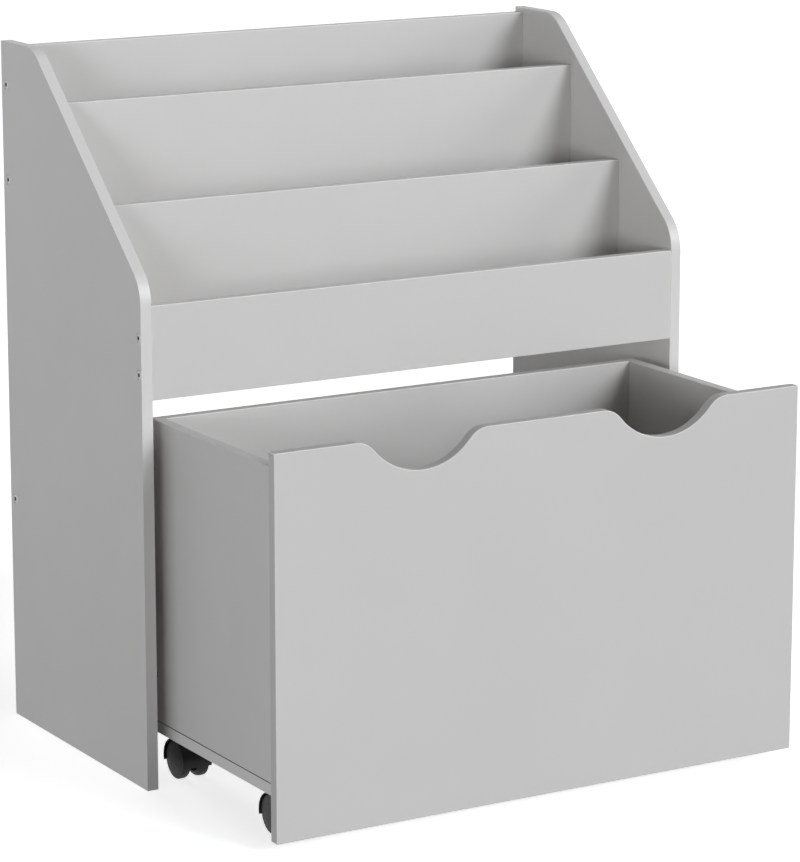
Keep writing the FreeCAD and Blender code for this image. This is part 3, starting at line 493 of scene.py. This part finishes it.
def crowded_edges(bm, edges):
    """List the edges with a hole closer than the rounding, and the way from each edge to its hole."""
    ends = {vert for edge in edges for vert in edge.verts}
    steps = [edge for edge in sharp_edges(bm) if edge.calc_length() <= HOLE_RIM]
    rims = [vert for step in steps for vert in step.verts if vert not in ends]
    crowded = []
    for edge in edges:
        start, end = (vert.co.copy() for vert in edge.verts)
        for rim in rims:
            foot, share = intersect_point_line(rim.co, start, end)
            way = rim.co - foot
            if 0.0 < share < 1.0 and way.length < EDGE_RADIUS:
                crowded.append((start, end, way.normalized()))
                break
    return crowded


def make_room(rounded, crowded):
    """Draw the rounding back to the edge on the side where it would run into a hole."""
    verts = {vert for face in rounded for vert in face.verts}
    for start, end, way in crowded:
        for vert in verts:
            foot, share = intersect_point_line(vert.co, start, end)
            offset = vert.co - foot
            if -END_SLACK < share < 1.0 + END_SLACK and offset.length < ROOM_REACH:
                vert.co -= way * offset.dot(way) * (1.0 - CROWDED_SHARE)


print("beside a hole the rounding keeps", round(CROWDED_SHARE * EDGE_RADIUS / MM, 2), "mm")

# %% [markdown]
# Now every board goes through the same steps, in one loop: it is copied, its bands are marked, its
# edges are rounded, room is made beside the holes, and the boards of the box get their hairline.

# %% Boards
BOARD_STEPS = 3
BOARDS = [node for node, slot in slot_of.items() if slot == "grey_paint"]
for node in BOARDS:
    bm = merged_copy(node)
    mark_bands(bm, node)
    edges = outer_edges(bm, HOLE_RIM)
    crowded = crowded_edges(bm, edges)
    rounded = ease(bm, edges, EDGE_RADIUS, BOARD_STEPS)
    make_room(rounded, crowded)
    if node in JOINED:
        mark_joint_shade(bm, rounded)
    finish_piece(node, f"{node}_coated", bm)

# %% [markdown]
# ## Fasteners, plates and hoods
#
# The screws, dowels and cam fittings, and the plates, pins and hoods of the casters, have their whole
# shape in the frame already. What they lack is the small radius that pressing, turning and moulding
# leave on a rim, so each is a copy with a finer bevel, and only the shortest edges are left out.

# %% Fasteners, plates and hoods
SMALL_RADIUS = 0.25 * MM
SMALL_RIM = 0.4 * MM
SMALL_STEPS = 2
WHEELS = [node for node, slot in slot_of.items() if slot == "black_tread"]
SMALL = [node for node in slot_of if node not in BOARDS and node not in WHEELS]
for node in SMALL:
    bm = merged_copy(node)
    ease(bm, outer_edges(bm, SMALL_RIM), SMALL_RADIUS, SMALL_STEPS)
    finish_piece(node, f"{node}_finished", bm)

# %% [markdown]
# ## Turning the caster wheels
#
# A caster wheel is a moulded nylon cup: a swollen closed face outside, a rounded tread, and a hub with
# ribs on the open side towards the hood. A lathe is the natural tool for it. The swell is drawn first,
# by spinning one point about the middle of a large circle. The other corners of the half section are
# added as single points, and two of them are rounded with a vertex bevel.

# %% Wheel section
WHEEL_RADIUS = 20.0 * MM
WHEEL_WIDTH = 11.3 * MM
WHEEL_CROWN = 1.2 * MM
TREAD_EDGE = 1.5 * MM
TREAD_ROUND = 0.98 * TREAD_EDGE
SHOULDER = 4.5 * MM
CUP_RADIUS = 14.5 * MM
CUP_FLOOR = 8.8 * MM
HUB_RADIUS = 5.5 * MM
BORE_RADIUS = 2.55 * MM
ROUND_STEPS = 6
Y_AXIS = Vector((0.0, 1.0, 0.0))


def draw_swell(bm):
    """Draw an arc in the XZ plane from the top of the crown to the rim, and give back the rim."""
    reach = WHEEL_RADIUS - TREAD_EDGE
    ball = (reach ** 2 / WHEEL_CROWN + WHEEL_CROWN) / 2
    apex = bm.verts.new((WHEEL_WIDTH, 0.0, 0.0))
    bmesh.ops.spin(bm, geom=[apex], cent=(WHEEL_WIDTH - ball, 0.0, 0.0), axis=-Y_AXIS,
                   angle=math.asin(reach / ball), steps=2 * ROUND_STEPS)
    return max(bm.verts, key=lambda vert: vert.co.z)


def draw_section(bm):
    rim = draw_swell(bm)
    corners = [
        (WHEEL_WIDTH - WHEEL_CROWN, WHEEL_RADIUS),
        (0.0, WHEEL_RADIUS),
        (0.0, CUP_RADIUS),
        (CUP_FLOOR, CUP_RADIUS),
        (CUP_FLOOR, HUB_RADIUS),
        (0.0, HUB_RADIUS),
        (0.0, BORE_RADIUS),
        (CUP_FLOOR, BORE_RADIUS),
        (CUP_FLOOR, 0.0),
    ]
    chain = [bm.verts.new((x, 0.0, z)) for x, z in corners]
    for first, second in zip([rim] + chain, chain):
        bm.edges.new((first, second))
    for corner, radius in ((chain[0], TREAD_ROUND), (chain[1], SHOULDER)):
        bmesh.ops.bevel(bm, geom=[corner], offset=radius, segments=ROUND_STEPS, profile=0.5,
                        affect="VERTICES", material=-1)


probe = bmesh.new()
draw_section(probe)
print("half section:", len(probe.verts), "points and", len(probe.edges), "edges")
probe.free()

# %% [markdown]
# The half section is spun once round the axle, and six thin blocks make the ribs. They reach a little
# into the walls, as moulded ribs grow out of them. Spin can leave a shape inside out, so its normals
# are recalculated once its seam and pole are closed.

# %% Turned wheel
WHEEL_STEPS = 72
X_AXIS = Vector((1.0, 0.0, 0.0))
RIBS = 6
RIB_THICKNESS = 1.6 * MM
RIB_START = 2.0 * MM
RIB_BITE = 0.8 * MM


def add_ribs(bm):
    size = Vector((
        CUP_FLOOR + RIB_BITE - RIB_START,
        RIB_THICKNESS,
        CUP_RADIUS - HUB_RADIUS + 2 * RIB_BITE,
    ))
    middle = Vector((RIB_START + size.x / 2, 0.0, (CUP_RADIUS + HUB_RADIUS) / 2))
    shape = Matrix.Translation(middle) @ Matrix.Diagonal(size).to_4x4()
    for rib in range(RIBS):
        turn = Matrix.Rotation(math.tau * rib / RIBS, 4, "X")
        bmesh.ops.create_cube(bm, size=1.0, matrix=turn @ shape)


def turn_wheel():
    bm = bmesh.new()
    draw_section(bm)
    bmesh.ops.spin(bm, geom=bm.verts[:] + bm.edges[:], cent=(0.0, 0.0, 0.0), axis=X_AXIS,
                   angle=math.tau, steps=WHEEL_STEPS, use_merge=True)
    bmesh.ops.remove_doubles(bm, verts=bm.verts, dist=SAME_SPOT)
    bmesh.ops.recalc_face_normals(bm, faces=bm.faces)
    add_ribs(bm)
    for face in bm.faces:
        face.smooth = True
    for edge in sharp_edges(bm):
        edge.smooth = False
    return bm


probe = turn_wheel()
print("turned wheel:", len(probe.faces), "faces")
probe.free()

# %% [markdown]
# Each caster has two wheels with their closed faces outwards. A wheel is made at the origin with its
# face to the right, so the one that faces left is turned half round, and then both are moved to the
# place of the wheel in the frame.

# %% Wheels
def make_wheel(node):
    low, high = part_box(node)
    twin = node.replace("outer", "?").replace("inner", "outer").replace("?", "inner")
    faces_right = low.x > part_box(twin)[0].x
    middle = (low + high) / 2
    bm = turn_wheel()
    if faces_right:
        place = Matrix.Translation((low.x, middle.y, middle.z))
    else:
        place = Matrix.Translation((high.x, middle.y, middle.z)) @ Matrix.Rotation(math.pi, 4, "Z")
    bmesh.ops.transform(bm, matrix=place, verts=bm.verts)
    return place_piece(f"{node}_moulded", bm, node)


for node in WHEELS:
    wheel = make_wheel(node)
    print(wheel.name, len(wheel.data.polygons), "faces")

# %% [markdown]
# ## Floor and surroundings
#
# The photograph is a catalogue picture on white. To the camera, and in reflections, the floor and the
# world are white. A floor that also threw that light back would brighten the lower boards, and in the
# photograph they are no brighter than the upper ones, so for all other rays the floor is dark. What
# the camera sees is the sum of a glow and of the light that falls there, so the shadow stays.

# %% Floor
FLOOR_WHITE = 0.8
FLOOR_DARK = 0.06
FLOOR_GLOW = 0.76
FLOOR_HALF = 12.0


def seen_rays(tree):
    """One for the rays that show a surface: those of the camera, of reflections and of refractions."""
    path = add_node(tree, "ShaderNodeLightPath").outputs
    seen = calculate(tree, "MAXIMUM", path["Is Camera Ray"], path["Is Glossy Ray"])
    return calculate(tree, "MAXIMUM", seen, path["Is Transmission Ray"])


def make_floor_material():
    material = bpy.data.materials.new("white_ground")
    material.use_nodes = True
    tree = material.node_tree
    tree.nodes.clear()
    matt = add_node(tree, "ShaderNodeBsdfDiffuse", inputs={"Color": grey(FLOOR_WHITE)})
    glow = add_node(tree, "ShaderNodeEmission", inputs={"Color": grey(1.0), "Strength": FLOOR_GLOW})
    white = add_node(tree, "ShaderNodeAddShader", inputs={0: matt.outputs[0], 1: glow.outputs[0]})
    dark = add_node(tree, "ShaderNodeBsdfDiffuse", inputs={"Color": grey(FLOOR_DARK)})
    mixed = add_node(tree, "ShaderNodeMixShader", inputs={
        0: seen_rays(tree), 1: dark.outputs[0], 2: white.outputs[0]})
    add_node(tree, "ShaderNodeOutputMaterial", inputs={"Surface": mixed.outputs[0]})
    return material


floor_bm = bmesh.new()
bmesh.ops.create_grid(floor_bm, x_segments=1, y_segments=1, size=FLOOR_HALF)
floor_mesh = bpy.data.meshes.new("ground")
floor_bm.to_mesh(floor_mesh)
floor_bm.free()
floor_mesh.materials.append(make_floor_material())
ground = bpy.data.objects.new("ground", floor_mesh)
bpy.context.scene.collection.objects.link(ground)
print("floor glow", FLOOR_GLOW)

# %% [markdown]
# The world works in the same way: white where it is seen, and nearly dark as a light, because an even
# light from all sides would wash out the shadows in the pockets.

# %% World
AMBIENT = 0.02


def make_world():
    world = bpy.data.worlds.new("studio")
    world.use_nodes = True
    tree = world.node_tree
    tree.nodes.clear()
    dim = add_node(tree, "ShaderNodeBackground", inputs={"Color": grey(1.0), "Strength": AMBIENT})
    white = add_node(tree, "ShaderNodeBackground", inputs={"Color": grey(1.0), "Strength": 1.0})
    mixed = add_node(tree, "ShaderNodeMixShader", inputs={
        0: seen_rays(tree), 1: dim.outputs[0], 2: white.outputs[0]})
    add_node(tree, "ShaderNodeOutputWorld", inputs={"Surface": mixed.outputs[0]})
    return world


bpy.context.scene.world = make_world()
print("ambient light", AMBIENT)

# %% [markdown]
# ## Lamps
#
# In the photograph a board at the back is as bright as one at the front, so the light has no falloff:
# the lamps stand far away, which a sun lamp does by itself, and its angle sets how soft the shadows
# are. The shadows on the dividers show a large lamp at the front right. The dark slot beside the left
# panel shows two smaller ones at the front left, hardly above the floor. The left ends of the dividers
# stay bright, because a lamp at the right lights the inside of the left panel. A lamp behind keeps the
# back readable, and it stands low so that the top edges of the boards don't flare.

# %% Far lamps
COOL_WHITE = (0.98, 1.0, 1.035)
LAMP_AWAY = 10.0


def direction(azimuth, elevation):
    turn = math.radians(azimuth)
    rise = math.radians(elevation)
    return Vector((math.sin(turn) * math.cos(rise), -math.cos(turn) * math.cos(rise), math.sin(rise)))


def set_lamp(data, towards, place):
    data.color = COOL_WHITE
    lamp = bpy.data.objects.new(data.name, data)
    lamp.location = place
    lamp.rotation_mode = "QUATERNION"
    lamp.rotation_quaternion = towards.to_track_quat("Z", "Y")
    bpy.context.scene.collection.objects.link(lamp)


def far_lamp(name, azimuth, elevation, spread, strength):
    data = bpy.data.lights.new(name, "SUN")
    data.angle = math.radians(spread)
    data.energy = strength
    towards = direction(azimuth, elevation)
    set_lamp(data, towards, towards * LAMP_AWAY)


far_lamp("key", azimuth=26, elevation=24.5, spread=28, strength=2.12)
far_lamp("fill_near", azimuth=-44, elevation=3, spread=14, strength=0.8)
far_lamp("fill_far", azimuth=-58, elevation=3, spread=20, strength=0.6)
far_lamp("right", azimuth=74, elevation=12, spread=26, strength=1.5)
far_lamp("rear", azimuth=180, elevation=10, spread=20, strength=1.5)
print("far lamps:", ", ".join(light.name for light in bpy.data.lights))

# %% [markdown]
# One more lamp lights the left panel. The inside of the box stays dark in the photograph, so that
# light can't come from above: it is a long strip that stands on the floor at the left. A sun is always
# round, so the strip is an area lamp, far enough away that its falloff doesn't show.

# %% Low strip
STRIP_TALL = 0.5
STRIP_LIFT = 0.3
STRIP_POWER = 4.0 * LAMP_AWAY ** 2


def low_strip(name, azimuth, spread, strength):
    """A far strip just above the floor, as wide as its spread, that gives about this strength."""
    data = bpy.data.lights.new(name, "AREA")
    data.shape = "RECTANGLE"
    data.size = 2.0 * LAMP_AWAY * math.tan(math.radians(spread) / 2.0)
    data.size_y = STRIP_TALL
    data.energy = STRIP_POWER * strength
    towards = direction(azimuth, 0.0)
    set_lamp(data, towards, towards * LAMP_AWAY + Vector((0.0, 0.0, STRIP_LIFT)))
    return data


left_strip = low_strip("left", azimuth=-92, spread=52, strength=0.55)
print("strip", left_strip.name, "is", round(left_strip.size, 2), "m wide")

# %% [markdown]
# ## Camera
#
# The camera's place was solved from the edges of the boards in the photograph: it looks from the front
# left, a little downwards, through a long lens. It looks past the middle of the object by a small step
# to the side and down, which puts the object where the photograph has it.

# %% Camera
VIEW_AZIMUTH = -30.6
VIEW_ELEVATION = 12.7
VIEW_DISTANCE = 3.9
MIDDLE_HEIGHT = 0.362
SENSOR = 36.0
LENS = 157.5
AIM_RIGHT = -0.003
AIM_UP = -0.034

view_data = bpy.data.cameras.new("catalogue_view")
view_data.sensor_width = SENSOR
view_data.lens = LENS
view = bpy.data.objects.new("catalogue_view", view_data)
bpy.context.scene.collection.objects.link(view)
back = direction(VIEW_AZIMUTH, VIEW_ELEVATION)
facing = back.to_track_quat("Z", "Y")
side_step = facing @ Vector((AIM_RIGHT, AIM_UP, 0.0))
view.location = Vector((0.0, 0.0, MIDDLE_HEIGHT)) + back * VIEW_DISTANCE + side_step
view.rotation_mode = "QUATERNION"
view.rotation_quaternion = facing
bpy.context.scene.camera = view
bpy.context.scene.view_settings.view_transform = "Standard"
print("camera", tuple(round(v, 3) for v in view.location))
